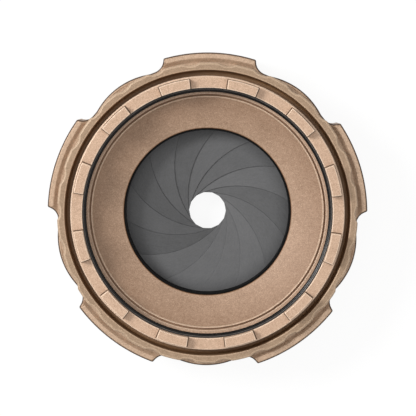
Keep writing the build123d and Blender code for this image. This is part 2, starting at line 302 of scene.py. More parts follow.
def anodised(name, colour, deep, worn_and_lit, rough=0.55, metal=0.12, shade_tint=(0.6, 0.42, 0.2)):
    """Fine blasted and anodised aluminium: cloudy in the large, sandy in the small, with faint
    turning marks. It is paler where wear_and_painted_light is positive, for rubbed edges and for
    painted highlights and sheen. It is darker brown where that value is negative, painted shade in
    corners, grooves and recesses."""
    finish = Finish(name)
    place = finish.place()
    apart = finish.node("ShaderNodeSeparateXYZ", {}, {0: place})
    x, y, z = (Value(finish, apart.outputs[n]) for n in range(3))
    radius = (x * x + y * y).root()
    marks_place = finish.node("ShaderNodeCombineXYZ", {}, {0: radius * 9.0, 1: z * 9.0, 2: 0.0})
    marks = finish.noise(marks_place.outputs[0], 1.0, detail=3.0, roughness=0.6)
    clouds = finish.noise(place, 0.28, detail=3.0, roughness=0.55)
    flecks = finish.noise(place, 1.5, detail=3.0, roughness=0.65)
    sand = finish.noise(place, 3.2, detail=3.0, roughness=0.7)
    grit = finish.noise(place, 7.5, detail=2.0, roughness=0.6)
    wear_and_painted_light = finish.attribute("wear_and_painted_light")
    mottle = clouds.band(0.3, 0.7) * 0.25 + flecks.band(0.36, 0.64) * 0.2 + sand.band(0.36, 0.64) * 0.5
    mottle = (mottle + marks * 0.05).clamped()
    base = finish.mix(mottle, deep, colour)
    base = finish.mix(grit.band(0.52, 0.66) * 0.3, base, tuple(0.4 * c for c in deep[:3]) + (1.0,))
    base = finish.mix((1 - grit.band(0.34, 0.46)) * 0.35, base, worn_and_lit)
    # Paler towards the worn colour: rubbed wear, painted highlights and painted sheen.
    pale_wear_and_highlight = (wear_and_painted_light * (0.5 + sand.band(0.35, 0.6) * 0.5)).clamped() * 0.85
    base = finish.mix(pale_wear_and_highlight, base, worn_and_lit)
    # Darker towards the shade tint: painted shade in corners, grooves and recesses.
    painted_shade = ((0.0 - wear_and_painted_light) * 0.7).clamped()
    base = finish.mix(painted_shade, base, tuple(d * c for d, c in zip(shade_tint, deep)) + (1.0,))
    roughness = rough + (sand - 0.5) * 0.12 + (clouds - 0.5) * 0.1 - pale_wear_and_highlight * 0.1
    relief = sand * 0.5 + grit * 0.35 + marks * 0.15
    return finish.surface({
        "Base Color": base,
        "Roughness": roughness,
        "Metallic": metal,
        "Normal": finish.bump(relief, strength=0.4, distance=0.00005),
    })


def fit(made, body, material, node=None):
    """Gives a piece its finish, attaches it to the empty of the body it rides on and hides the CAD node
    it stands for.
    """
    made.data.materials.clear()
    made.data.materials.append(material)
    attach(made, body)
    if node:
        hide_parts(node)
    return made


housing_finish = anodised(
    "tan_housing", linear(191, 159, 134), linear(150, 119, 94), linear(234, 206, 180)
)
around = np.radians(np.arange(0, 360, 1.0))
housing_rows = rounded([
    (BODY_RADIUS, THREAD_TOP, 0.1),
    (THREAD_RADIUS, THREAD_TOP, 0.05),
    (THREAD_RADIUS, SEAT_FLOOR, 0.05),
    (SEAT_RADIUS, SEAT_FLOOR, 0.05),
    (SEAT_RADIUS, SOCKET_WALL_TOP, 0.05),
    (SOCKET_RADIUS, SOCKET_WALL_TOP, 0.12),
    (SOCKET_RADIUS, 0.0, 0.06),
    (LEDGE_INNER, 0.0, 0.12),
    (LEDGE_INNER, GROOVE_FLOOR, 0.05),
    (FUNNEL_OUTER, GROOVE_FLOOR, 0.05),
    (FUNNEL_OUTER, 0.0, 0.06),
    (FUNNEL_OUTER - BEAD_FLAT, 0.0, 0.06),
    (FUNNEL_OUTER - BEAD_WIDTH, -BEAD_DROP, 0.05),
    (OPENING_RADIUS, FUNNEL_FLOOR, LIP_ROUNDING),
    (OPENING_RADIUS, FUNNEL_FLOOR - LIP_HEIGHT, 0.05),
    (CARRIER_SEAT, FUNNEL_FLOOR - LIP_HEIGHT, 0.05),
    (CARRIER_SEAT, CHAMBER_CEILING, 0.05),
    (CHAMBER_RADIUS, CHAMBER_CEILING, 0.05),
    (CHAMBER_RADIUS, BODY_BOTTOM, 0.1),
    (BODY_RADIUS, BODY_BOTTOM, 0.1),
])
# Each row's corner value: a painted highlight with wear on outer corners, painted shade in inner ones.
row_radius, row_height, corner_wear_and_painted_light = housing_rows.T
# The rows of the groove, the bead, the bead's foot and the lip are told by their place in the section.
from_funnel = FUNNEL_OUTER - row_radius
on_ledge = (np.abs(row_height) < 0.001) & (row_radius > LEDGE_INNER)
in_groove = (row_height < -0.2) & (row_height > GROOVE_FLOOR - 0.05) & (from_funnel < 0.001)
on_bead = (np.abs(from_funnel - 0.12) < 0.14) & (row_height > -0.19)
at_bead_foot = (np.abs(from_funnel - 0.3) < 0.1) & (row_height < -0.19) & (row_height > GROOVE_FLOOR)
at_lip = (row_radius < OPENING_RADIUS + 0.1) & (row_height > FUNNEL_FLOOR - LIP_HEIGHT - 0.05)
# The housing's painted highlights and painted shade by place, and the corners' own values elsewhere.
housing_wear_and_painted_light = np.select(
    [at_lip, at_bead_foot, on_bead, in_groove, on_ledge],
    [LIP_PAINTED_SHADE, BEAD_FOOT_PAINTED_SHADE, BEAD_PAINTED_HIGHLIGHT_AND_WEAR, GROOVE_PAINTED_SHADE, LEDGE_PAINTED_SHEEN_AND_WEAR],
    corner_wear_and_painted_light,
)
housing = closed_surface("housing_body", turned(housing_rows, around), housing_wear_and_painted_light[:, None])


def slot_cutter(turn):
    """A bar bent round the axis with half-round ends, seen as (angle, height): its outline is a
    straight run with a half circle at each end, at every radius from inside the wall to outside."""
    bend = np.radians(np.linspace(-90, 90, 13))
    span = np.radians(SLOT_ANGLES) + np.radians(DRIVE_ANGLE + turn)
    run = SLOT_HALF_HEIGHT / SLOT_MIDDLE_RADIUS
    right = np.stack([span[1] + run * np.cos(bend), np.sin(bend)], -1)
    top = np.stack([np.linspace(span[1], span[0], 40)[1:-1], np.ones(38)], -1)
    left = np.stack([span[0] - run * np.cos(bend), -np.sin(bend)], -1)
    bottom = np.stack([np.linspace(span[0], span[1], 40)[1:-1], -np.ones(38)], -1)
    outline = np.concatenate([right, top, left, bottom])
    middle = np.stack([np.clip(outline[:, 0], *span), 0 * outline[:, 1]], -1)
    inside, outside = SLOT_CUT_RADII
    rows = []
    for radius, shape in ((inside, middle), (inside, outline), (outside, outline), (outside, middle)):
        rows.append(np.stack([
            radius * np.cos(shape[:, 0]),
            radius * np.sin(shape[:, 0]),
            DRIVE_HEIGHT + SLOT_HALF_HEIGHT * shape[:, 1],
        ], -1))
    return closed_surface("slot_cutter", np.array(rows).transpose(1, 0, 2), 0.0, open_ends=True)


for turn in (0, 180):
    cut_away(housing, slot_cutter(turn), SLOT_SLIVER)
fit(housing, "housing", housing_finish, "housing")

# Barrel seal: a moulded black rubber ring that stands a little into the socket and grips the
# lens barrel. It lies on the socket's step and is not quite even where it has been squeezed.

SEAL_CIRCLE = 20.55
SEAL_SECTION = 0.6
SEAL_INWARD = 1.2
SHOULDER_GROOVE = math.radians(128)
# Where a pale painted reflection runs round the seal's section.
SHOULDER_PAINTED_REFLECTION = math.radians(112)
seal_section = np.radians(np.arange(0, 360, 5))


def rubber(name):
    """Moulded black rubber with a damp gloss, a dusty bloom, a fine mould texture and a pale line
    painted where wear_and_painted_light is set, a painted reflection.
    """
    finish = Finish(name)
    place = finish.place()
    bloom = finish.noise(place, 0.9, detail=4.0, roughness=0.6).band(0.45, 0.8)
    grain = finish.noise(place, 14.0, detail=2.0)
    base = finish.mix(bloom * 0.3, linear(6, 5, 5), linear(32, 29, 28))
    # A pale grey line broken by noise: a painted reflection of the light above.
    painted_reflection = finish.attribute("wear_and_painted_light") * (0.6 + finish.noise(place, 0.7, detail=2.0).band(0.4, 0.6) * 0.4)
    base = finish.mix(painted_reflection * 0.6, base, linear(130, 123, 117))
    return finish.surface({
        "Base Color": base,
        "Roughness": 0.26 + bloom * 0.15 + (grain - 0.5) * 0.05,
        "Specular IOR Level": 0.35,
        "Normal": finish.bump(grain, strength=0.05, distance=0.00002),
    })


def seal_surface():
    """A torus squeezed a little by slow waves round the ring, bulging a fifth more inwards, with a
    shallow moulded groove round its shoulder. Its section radius about the seal's circle is
    s (1 - 0.1 exp(-((t - 128 deg) / 8 deg)^2)) (1 - 0.02 (1 + sin(2 a + 0.7)) - 0.012 (1 + sin 5 a))."""
    squeeze = 1 - 0.02 * (1 + np.sin(2 * around + 0.7)) - 0.012 * (1 + np.sin(5 * around))
    size = SEAL_SECTION * (1 - 0.1 * np.exp(-((seal_section - SHOULDER_GROOVE) / 0.14) ** 2))
    reach = size * np.cos(seal_section) * np.where(np.cos(seal_section) < 0, SEAL_INWARD, 1.0)
    radius = SEAL_CIRCLE + reach[:, None] * squeeze[None, :]
    height = SOCKET_WALL_TOP + SEAL_SECTION + (size * np.sin(seal_section))[:, None] * squeeze[None, :]
    return np.stack([radius * np.cos(around), radius * np.sin(around), height], -1)


# The painted reflection line, just inside the top of the section.
seal_painted_reflection = np.exp(-((seal_section - SHOULDER_PAINTED_REFLECTION) / 0.1) ** 2)
seal = closed_surface("seal_ring", seal_surface(), seal_painted_reflection[:, None])
fit(seal, "housing", rubber("black_rubber"), "barrel_seal")

# Lock nut: a threaded aluminium ring that presses the seal down. Twelve wide slots milled
# across its top leave twelve raised pads for a pronged key.

PAD_COUNT = 12
PAD_HALF_WIDTH = math.radians(13.5 / 2)
PAD_PHASE = math.radians(90 - 15.6)
NUT_BORE = 20.5
PAD_OUTER = 22.1
NUT_OUTER = 22.38
NUT_FLOOR = 3.5
PAD_HEIGHT = 1.5
PAD_EDGE = 0.12
PAD_WALL = 0.02
# The pads' rounded edges are painted paler, a painted highlight with rubbed wear, and the foot of their
# walls darker, painted shade.
PAD_EDGE_PAINTED_HIGHLIGHT_AND_WEAR = 1.0
PAD_FOOT_PAINTED_SHADE = -1.4
NUT_UNDERSIDE = 2.8
SLEEVE_BORE = 21.25
SLEEVE_BOTTOM = 1.3


def pad_rise(inside):
    """The height of a pad by the distance inside its edge: a near-upright wall, a quarter-round
    edge sqrt(e^2 - (e - d)^2) above it, then flat."""
    over = np.clip((inside - PAD_WALL) / PAD_EDGE, 0, 1)
    crown = PAD_EDGE * np.sqrt(1 - (1 - over) ** 2)
    wall = np.clip(inside / PAD_WALL, 0, 1) * (PAD_HEIGHT - PAD_EDGE)
    return wall + crown


def near_edge(edge, inward):
    """Places across an edge, close together at its foot and where the wall and its rounding are."""
    return edge + inward * np.array([-0.17, -0.11, -0.02, 0.0, 0.02, 0.03, 0.05, 0.08, 0.11, 0.14, 0.19])


pad_pitch = 2 * math.pi / PAD_COUNT
mid_radius = (NUT_BORE + PAD_OUTER) / 2
pad_edge_angles = near_edge(-PAD_HALF_WIDTH * mid_radius, 1) / mid_radius
pad_angles = np.concatenate([
    pad_edge_angles,
    np.linspace(pad_edge_angles[-1], -pad_edge_angles[-1], 8)[1:-1],
    -pad_edge_angles[::-1],
    np.linspace(-pad_edge_angles[0], pad_pitch + pad_edge_angles[0], 10)[1:-1],
])
nut_angles = np.concatenate([PAD_PHASE + pad_angles + n * pad_pitch for n in range(PAD_COUNT)])
pad_radii = np.concatenate([
    np.linspace(NUT_BORE + 0.3, PAD_OUTER - 0.19, 6)[:-1],
    near_edge(PAD_OUTER, -1)[::-1],
])
nut_rows = rounded([
    (NUT_BORE, NUT_UNDERSIDE, 0.1),
    (NUT_BORE, NUT_FLOOR, 0.12),
    (NUT_OUTER, NUT_FLOOR, 0.1),
    (NUT_OUTER, NUT_UNDERSIDE, 0.06),
    (THREAD_RADIUS, NUT_UNDERSIDE, 0.04),
    (THREAD_RADIUS, SLEEVE_BOTTOM, 0.1),
    (SLEEVE_BORE, SLEEVE_BOTTOM, 0.05),
    (SLEEVE_BORE, NUT_UNDERSIDE, 0.04),
])
nut_top = nut_rows[:, 1] > NUT_FLOOR - 0.001
inner_end = np.flatnonzero(nut_top & (nut_rows[:, 0] < pad_radii[0]))[-1] + 1
outer_start = np.flatnonzero(nut_top & (nut_rows[:, 0] > pad_radii[-1] + 0.005))[0]
pad_rows = np.stack([pad_radii, np.full(len(pad_radii), NUT_FLOOR), np.zeros(len(pad_radii))], -1)
nut_rows = np.concatenate([nut_rows[:inner_end], pad_rows, nut_rows[outer_start:]])
nut_grid = turned(nut_rows, nut_angles)
from_pad = (nut_angles - PAD_PHASE + pad_pitch / 2) % pad_pitch - pad_pitch / 2
inside_angle = (PAD_HALF_WIDTH - np.abs(from_pad)) * mid_radius
inside_pad = np.minimum(PAD_OUTER - nut_rows[:, 0][:, None], inside_angle[None, :])
on_top = (nut_rows[:, 1] > NUT_FLOOR - 0.119)[:, None] & (nut_rows[:, 0] < PAD_OUTER + 0.1)[:, None]
nut_grid[:, :, 2] += np.where(on_top, pad_rise(inside_pad), 0.0)
# Masks for the painted highlight on each pad's rounded edge and the painted shade along its foot.
at_pad_edge = on_top & (inside_pad > 0.015) & (inside_pad < 0.16)
at_pad_foot = on_top & (inside_pad > -0.14) & (inside_pad < 0.01)
nut_wear_and_painted_light = np.where(at_pad_edge, PAD_EDGE_PAINTED_HIGHLIGHT_AND_WEAR, nut_rows[:, 2][:, None])
nut_wear_and_painted_light = np.where(at_pad_foot, PAD_FOOT_PAINTED_SHADE, nut_wear_and_painted_light)
lock_nut = closed_surface("slotted_nut", nut_grid, nut_wear_and_painted_light)
# The shade tint here gives the dark painted shade lines at the pads' feet.
nut_finish = anodised(
    "tan_nut", linear(218, 184, 156), linear(184, 150, 123), linear(245, 218, 193), rough=0.5,
    shade_tint=(0.2, 0.16, 0.1),
)
fit(lock_nut, "housing", nut_finish, "lock_nut")

# Retaining ring: screws onto the housing over the grip ring and keeps it down. Its rim has 26
# shallow flutes for the fingers, and a deep moat between it and the lock nut.

FLUTE_COUNT = 26
FLUTE_PHASE = math.radians(90 - 7.5)
RIM_RADIUS = 24.68
RIM_TOP = 2.8
RIM_UNDERSIDE = 1.05
RING_NECK = 23.9
RING_BOTTOM = -0.6
FLUTE_ROOT = 24.0
FLUTE_FADE = 0.3
FLUTE_SOFTNESS = 0.02
FLUTE_DEPTH = 0.41
FLUTE_HALF_WIDTH = math.radians(3.4)
FLUTE_EDGE_FROM = 2.8
FLUTE_EDGE_TO = 4.0
MOAT_RADIUS = 23.45
MOAT_FLOOR = 0.9
MOAT_SLOPE = 0.25

half_chord = RIM_RADIUS * math.sin(FLUTE_HALF_WIDTH)
flute_radius = (half_chord ** 2 + FLUTE_DEPTH ** 2) / (2 * FLUTE_DEPTH)
flute_circle = RIM_RADIUS - FLUTE_DEPTH + flute_radius


def flute_change(angles):
    """How far the rim falls back at each angle: the flute is a cylinder of radius f centred at
    distance c, so its wall is at c cos a - sqrt(f^2 - c^2 sin^2 a), softened where it meets the rim."""
    pitch = 2 * math.pi / FLUTE_COUNT
    off = (angles - FLUTE_PHASE + pitch / 2) % pitch - pitch / 2
    inner = np.clip(flute_radius ** 2 - (flute_circle * np.sin(off)) ** 2, 0, None)
    wall = np.where(inner > 0, flute_circle * np.cos(off) - np.sqrt(inner), RIM_RADIUS + 1)
    over = np.clip((RIM_RADIUS - wall) / FLUTE_SOFTNESS, -50, 50)
    return -FLUTE_SOFTNESS * np.log1p(np.exp(over))


flute_pitch_deg = 360 / FLUTE_COUNT
flute_steps = np.radians(np.concatenate([
    np.linspace(-FLUTE_EDGE_TO, -FLUTE_EDGE_FROM, 8),
    np.linspace(-2.5, 2.5, 13),
    np.linspace(FLUTE_EDGE_FROM, FLUTE_EDGE_TO, 8),
    np.linspace(FLUTE_EDGE_TO, flute_pitch_deg - FLUTE_EDGE_TO, 8)[1:-1],
]))
rim_angles = np.concatenate([
    FLUTE_PHASE + flute_steps + n * math.radians(flute_pitch_deg) for n in range(FLUTE_COUNT)
])
rim_rows = rounded([
    (BODY_RADIUS, RING_BOTTOM, 0.05),
    (RING_NECK, RING_BOTTOM, 0.1),
    (RING_NECK, RIM_UNDERSIDE, 0.05),
    (RIM_RADIUS, RIM_UNDERSIDE, 0.08),
    (RIM_RADIUS, RIM_TOP, 0.34),
    (MOAT_RADIUS, RIM_TOP, 0.15),
    (MOAT_RADIUS - MOAT_SLOPE, MOAT_FLOOR, 0.3),
    (BODY_RADIUS, MOAT_FLOOR, 0.05),
])
rim_weight = np.clip((rim_rows[:, 0] - FLUTE_ROOT) / FLUTE_FADE, 0, 1)
rim_change = flute_change(rim_angles)
rim_grid = turned(rim_rows, rim_angles, (rim_weight, rim_change))
# The moat is painted dark brown, darkest at its floor: painted shade of the deep groove.
in_moat = (rim_rows[:, 0] < MOAT_RADIUS + 0.01) & (rim_rows[:, 1] < RIM_TOP - 0.15)
moat_painted_shade = -1.2 + 0.4 * np.clip((rim_rows[:, 1] - MOAT_FLOOR) / (RIM_TOP - MOAT_FLOOR), 0, 1)
rim_wear_and_painted_light = np.where(in_moat, moat_painted_shade, rim_rows[:, 2])
retaining_ring = closed_surface("fluted_ring", rim_grid, rim_wear_and_painted_light[:, None])
rim_finish = anodised(
    "tan_ring", linear(182, 154, 127), linear(141, 114, 88), linear(202, 174, 146), rough=0.55
)
fit(retaining_ring, "housing", rim_finish, "retaining_ring")

# Grip ring: the part the fingers turn. Five straight-sided lugs and five low lobes round a
# milled aluminium ring, with a turned cove under the fluted rim. It turns between the retaining
# ring and the front cover's flange, and two screws join it to the cam ring.

GRIP_TOP = 1.5
GRIP_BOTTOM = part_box("grip_ring")[0].z / MM
GRIP_BORE = 22.58
GRIP_VALLEY = 24.6
LUG_RADIUS = 26.295
LUG_HALF_WIDTH = LUG_RADIUS * math.sin(math.radians(33.6 / 2))
LUG_COUNT = 5
LUG_PHASE = math.radians(0.85)
LUG_CORNER = 0.3
LUG_ROOT = 2.2
LOBE_PEAK = 25.265
LOBE_CURVE = 12.0
LOBE_ROOT = 3.0
COUNTERBORE = 24.0
COUNTERBORE_FLOOR = -1.2
COVE_FLOOR = 0.98
COVE_START = 24.6
COVE_WIDTH = 1.1
# How much paler the cove and the lug's crest are painted: painted light.
COVE_PAINTED_LIGHT = 0.5
BORE_CHAMFER = 0.1
FLOOR_CHAMFER = 0.05
SUPPORT = 0.05
GRIP_EDGE = 0.25
CREST_REACH = 0.38
CREST_DROP = 0.3
CROWN_START = 25.4
LUG_CROWN = 0.32
SHANK_HOLE = 0.5
HEAD_HOLE = 0.85
HEAD_SEAT = 23.8
HOLE_START = 20.6
HOLE_END = 27.8
HOLE_SLIVER = 3e-7


def bent(centre, radius, start, end, count, outward=1):
    """Points of an arc, with their outward normals: centre + radius (sin a, cos a)."""
    angle = np.linspace(start, end, count)
    ray = np.stack([np.sin(angle), np.cos(angle)], -1)
    return np.concatenate([np.array(centre) + radius * ray, outward * ray], -1)


def grip_outline():
    """The outline of half a lug and half a lobe, as arcs that are tangent to each other, then its
    mirror image and four turned copies. Rows are (x, y, normal x, normal y), going clockwise."""
    corner = (LUG_HALF_WIDTH - LUG_CORNER, 0)
    corner = (corner[0], math.sqrt((LUG_RADIUS - LUG_CORNER) ** 2 - corner[0] ** 2))
    corner_angle = math.atan2(*corner)
    root = (LUG_HALF_WIDTH + LUG_ROOT, 0)
    root = (root[0], math.sqrt((GRIP_VALLEY + LUG_ROOT) ** 2 - root[0] ** 2))
    root_angle = math.atan2(*root)
    half_pitch = math.pi / LUG_COUNT
    far = GRIP_VALLEY + LOBE_ROOT
    near = LOBE_PEAK - LOBE_CURVE
    cosine = (far ** 2 + near ** 2 - (LOBE_CURVE + LOBE_ROOT) ** 2) / (2 * far * near)
    lobe_angle = half_pitch - math.acos(cosine)
    lobe_centre = np.array([math.sin(half_pitch), math.cos(half_pitch)]) * near
    dip_centre = np.array([math.sin(lobe_angle), math.cos(lobe_angle)]) * far
    join = math.atan2(*(dip_centre - lobe_centre))
    flank = np.linspace(corner[1], root[1], 4)[1:-1]
    half = np.concatenate([
        bent((0, 0), LUG_RADIUS, 0, corner_angle, 22)[:-1],
        bent(corner, LUG_CORNER, corner_angle, math.pi / 2, 7),
        np.stack([0 * flank + LUG_HALF_WIDTH, flank, 1 + 0 * flank, 0 * flank], -1),
        bent(root, LUG_ROOT, 1.5 * math.pi, math.pi + root_angle, 12, -1)[:-1],
        bent((0, 0), GRIP_VALLEY, root_angle, lobe_angle, 6)[:-1],
        bent(dip_centre, LOBE_ROOT, math.pi + lobe_angle, math.pi + join, 6, -1)[:-1],
        bent(lobe_centre, LOBE_CURVE, join, half_pitch, 12),
    ])
    mirror = half[1:][::-1] * np.array([-1, 1, -1, 1])
    lug = np.concatenate([mirror[1:], half[:1], half[1:]])
    turns = []
    for n in range(LUG_COUNT):
        angle = LUG_PHASE + n * 2 * half_pitch
        turn = np.array([[math.cos(angle), -math.sin(angle)], [math.sin(angle), math.cos(angle)]])
        turns.append(np.concatenate([lug[:, :2] @ turn, lug[:, 2:] @ turn], -1))
    return np.concatenate(turns)


outline = grip_outline()
outline_angle = np.arctan2(outline[:, 1], outline[:, 0])


def cove(radius):
    """The ring's top height by radius: flat under the rim, then a soft S up to the lug's face,
    3 t^2 - 2 t^3 of the rise for t from 0 to 1 across it, then a crown that falls by LUG_CROWN u^2
    for u from 0 to 1 across the lug."""
    rise = np.clip((radius - COVE_START) / COVE_WIDTH, 0, 1)
    fall = np.clip((radius - CROWN_START) / (LUG_RADIUS - CROWN_START), 0, 1)
    return COVE_FLOOR + (GRIP_TOP - COVE_FLOOR) * rise ** 2 * (3 - 2 * rise) - LUG_CROWN * fall ** 2


def inset_row(inset, height):
    """The outline moved in along its normals."""
    flat = outline[:, :2] - inset * outline[:, 2:]
    return np.concatenate([flat, (height + 0 * inset + 0 * flat[:, 0])[:, None]], -1)


def circle_row(radius, height):
    """A circle about the axis, with its points at the angles of the outline's."""
    return np.stack([
        radius * np.cos(outline_angle), radius * np.sin(outline_angle), height + 0 * outline_angle,
    ], -1)


rounding = np.radians(np.linspace(0, 90, 8))
edge_height = cove(np.hypot(*(outline[:, :2] - CREST_REACH * outline[:, 2:]).T))
grip_rows, grip_wear_and_painted_light = [], []


def add_row(row, worn_and_lit=0.0):
    """The next row of the ring's section, going round it from the bore's lower edge. Its second
    value is the row's wear and painted light: above 0 painted paler, below 0 painted darker.
    """
    grip_rows.append(row)
    grip_wear_and_painted_light.append(worn_and_lit)


add_row(circle_row(GRIP_BORE + BORE_CHAMFER, GRIP_BOTTOM))
add_row(circle_row(GRIP_VALLEY - 0.6, GRIP_BOTTOM))
add_row(inset_row(GRIP_EDGE + SUPPORT, GRIP_BOTTOM))
# The bottom edge is painted paler, like every outer corner: rubbed wear and a painted highlight.
for a in rounding:
    add_row(inset_row(GRIP_EDGE * (1 - math.sin(a)), GRIP_BOTTOM + GRIP_EDGE * (1 - math.cos(a))), 1.0)
add_row(inset_row(0, GRIP_BOTTOM + GRIP_EDGE + 0.1))
add_row(inset_row(0, edge_height - CREST_DROP - SUPPORT))
for a in rounding:
    inset, drop = CREST_REACH * (1 - math.cos(a)), CREST_DROP * (1 - math.sin(a))
    # Across the lug's outer rounding: a painted dark outline at its foot, painted shade, then a paler
    # crest, a painted highlight.
    crest_painted_light_and_shade = max(-1.5, min(COVE_PAINTED_LIGHT, 14 * math.sin(a) - 13))
    add_row(inset_row(inset, edge_height - drop), crest_painted_light_and_shade)
crest = inset_row(CREST_REACH, 0)[:, :2]
well = circle_row(COUNTERBORE + BORE_CHAMFER, 0)[:, :2]
# The cove is painted paler to lift the shade of its slope under the rim: painted light.
for share in np.linspace(0.98, 0.0, 30):
    flat = well + (crest - well) * share
    reach = np.hypot(flat[:, 0], flat[:, 1])
    height = np.minimum(cove(reach), edge_height)
    add_row(np.concatenate([flat, height[:, None]], -1), COVE_PAINTED_LIGHT)
# The counterbore's top edge is painted paler, a painted highlight, and its floor corner darker, painted
# shade.
add_row(circle_row(COUNTERBORE, COVE_FLOOR - BORE_CHAMFER), 1.0)
add_row(circle_row(COUNTERBORE, COUNTERBORE_FLOOR + FLOOR_CHAMFER))
add_row(circle_row(COUNTERBORE - FLOOR_CHAMFER, COUNTERBORE_FLOOR), -1.0)
add_row(circle_row(GRIP_BORE + BORE_CHAMFER, COUNTERBORE_FLOOR))
add_row(circle_row(GRIP_BORE, COUNTERBORE_FLOOR - BORE_CHAMFER))
add_row(circle_row(GRIP_BORE, GRIP_BOTTOM + BORE_CHAMFER))
grip_ring = closed_surface("lugged_ring", np.array(grip_rows), np.array(grip_wear_and_painted_light)[:, None])


def screw_hole(turn):
    """A stepped hole along a radius: rings of radius s at distance d from the axis, for the shank,
    then for the head."""
    steps = (
        (HOLE_START, 0.0), (HOLE_START, SHANK_HOLE), (HEAD_SEAT, SHANK_HOLE),
        (HEAD_SEAT, HEAD_HOLE), (HOLE_END, HEAD_HOLE), (HOLE_END, 0.0),
    )
    ring = np.radians(np.arange(0, 360, 15))
    angle = math.radians(DRIVE_ANGLE + turn)
    out, side = math.cos(angle), math.sin(angle)
    rows = []
    for distance, size in steps:
        across = size * np.cos(ring)
        rows.append(np.stack([
            distance * out - across * side,
            distance * side + across * out,
            DRIVE_HEIGHT + size * np.sin(ring),
        ], -1))
    return closed_surface("screw_hole", np.array(rows).transpose(1, 0, 2), 0.0, open_ends=True)


for turn in (0, 180):
    cut_away(grip_ring, screw_hole(turn), HOLE_SLIVER)
# The shade tint here gives the lugs' painted dark outline and corners.
grip_finish = anodised(
    "tan_grip", linear(192, 162, 136), linear(152, 123, 98), linear(226, 196, 168), rough=0.5, metal=0.3,
    shade_tint=(0.25, 0.22, 0.2),
)
fit(grip_ring, "grip", grip_finish, "grip_ring")

# Leaf carrier, cam ring: two black anodised aluminium rings inside the housing. The carrier is
# seated in it and holds the leaves' pivots, and its wall shows as the black line round them. The
# cam ring turns below and moves their tail pins.


def black_anodised(name):
    """Matt black anodising with a faint grey dust and turning marks."""
    finish = Finish(name)
    place = finish.place()
    dust = finish.noise(place, 1.2, detail=4.0, roughness=0.6).band(0.4, 0.8)
    grain = finish.noise(place, 12.0, detail=2.0)
    return finish.surface({
        "Base Color": finish.mix(dust * 0.4, linear(5, 5, 5), linear(20, 18, 17)),
        "Roughness": 0.6 + (grain - 0.5) * 0.15,
        "Specular IOR Level": 0.12,
        "Normal": finish.bump(grain, strength=0.25, distance=0.00002),
    })


def plain_steel(name, colour, rough):
    """Small steel parts: slightly streaked, with a fine scratched grain."""
    finish = Finish(name)
    streaks = finish.noise(finish.place(), 4.0, detail=4.0, roughness=0.6)
    darker = tuple(0.8 * c for c in colour[:3]) + (1.0,)
    return finish.surface({
        "Base Color": finish.mix(streaks.band(0.3, 0.7), darker, colour),
        "Roughness": rough + (streaks - 0.5) * 0.15,
        "Metallic": 1.0,
        "Normal": finish.bump(streaks, strength=0.15, distance=0.00001),
    })


def refinish(node, material):
    """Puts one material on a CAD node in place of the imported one."""
    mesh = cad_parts[node].data
    mesh.materials.clear()
    mesh.materials.append(material)


black_finish = black_anodised("black_anodised")
refinish("leaf_carrier", black_finish)
refinish("cam_ring", black_finish)

# Leaves: fourteen crescents of thin blackened spring steel, each riveted to two pins. Each rests
# on its neighbours like a spiral stair, so it falls from its head to its tail.

LEAF_COUNT = 14
LEAF_INNER = 15.4
LEAF_WIDTH = 4.8
PIVOT_RADIUS = LEAF_INNER + LEAF_WIDTH / 2
LEAF_ARC = 142.0
LEAF_TAPER = 95.0
TAIL_RADIUS = 1.9
TAIL_CIRCLE = LEAF_INNER + TAIL_RADIUS
LEAF_PITCH = 0.09
LEAF_THICKNESS = 0.06
HEAD_TOP = -5.298626
FIRST_PIVOT = 80.85
REST_APERTURE = 3.0


def stair(angle):
    """How far a leaf has fallen at an angle along its arc, in degrees: the integral of
    0.01 + 0.295 / (1 + ((a - 62) / 30)^2), times the pitch of the stack."""
    return LEAF_PITCH * (0.01 * angle + 8.85 * np.arctan((angle - 62) / 30))


def leaf_edges(angle):
    """The inner and outer radius of a leaf by the angle along its arc. Past the head and the tail
    both lie on the end's circle, radius c cos a -+ sqrt(w^2 - c^2 sin^2 a)."""
    inner = np.full(angle.shape, LEAF_INNER)
    shrink = np.clip((angle - LEAF_TAPER) / (LEAF_ARC - LEAF_TAPER), 0, 1)
    outer = LEAF_INNER + LEAF_WIDTH - shrink * (LEAF_WIDTH - 2 * TAIL_RADIUS)
    for circle, size, off in (
        (PIVOT_RADIUS, LEAF_WIDTH / 2, -angle), (TAIL_CIRCLE, TAIL_RADIUS, angle - LEAF_ARC),
    ):
        turn = np.radians(np.clip(off, 0, None))
        half = np.sqrt(np.clip(size ** 2 - (circle * np.sin(turn)) ** 2, 0, None))
        inner = np.where(off > 0, circle * np.cos(turn) - half, inner)
        outer = np.where(off > 0, circle * np.cos(turn) + half, outer)
    return inner, outer


head_reach = math.degrees(math.asin(LEAF_WIDTH / 2 / PIVOT_RADIUS))
tail_reach = math.degrees(math.asin(TAIL_RADIUS / TAIL_CIRCLE))
ease = np.sin(np.radians(np.linspace(0, 90, 14)))
leaf_angles = np.concatenate([
    -head_reach * ease[::-1],
    np.linspace(0, LEAF_ARC, 150)[1:-1],
    LEAF_ARC + tail_reach * ease,
])
across = np.array([0.0, 0.004, 0.012, 0.02, 0.035, 0.06, 0.2, 0.4, 0.6, 0.8, 0.94, 0.975, 0.99, 1.0])
lip = np.minimum(across, 1 - across) * LEAF_WIDTH
half_thickness = LEAF_THICKNESS / 2
edge_round = half_thickness * (1 - np.sqrt(1 - (1 - np.clip(lip / half_thickness, 0, 1)) ** 2))
inner_edge, outer_edge = leaf_edges(leaf_angles)
leaf_top = np.stack([across, -edge_round], -1)
leaf_under = np.stack([across, edge_round - LEAF_THICKNESS], -1)[::-1][1:-1]
section = np.concatenate([leaf_top, leaf_under])
leaf_radius = inner_edge[None, :] + section[:, 0][:, None] * (outer_edge - inner_edge)[None, :]
middle_height = HEAD_TOP - half_thickness - (stair(leaf_angles) - stair(0.0))
thickness_share = np.ones(len(leaf_angles))
thickness_share[[0, -1]] = 0.0
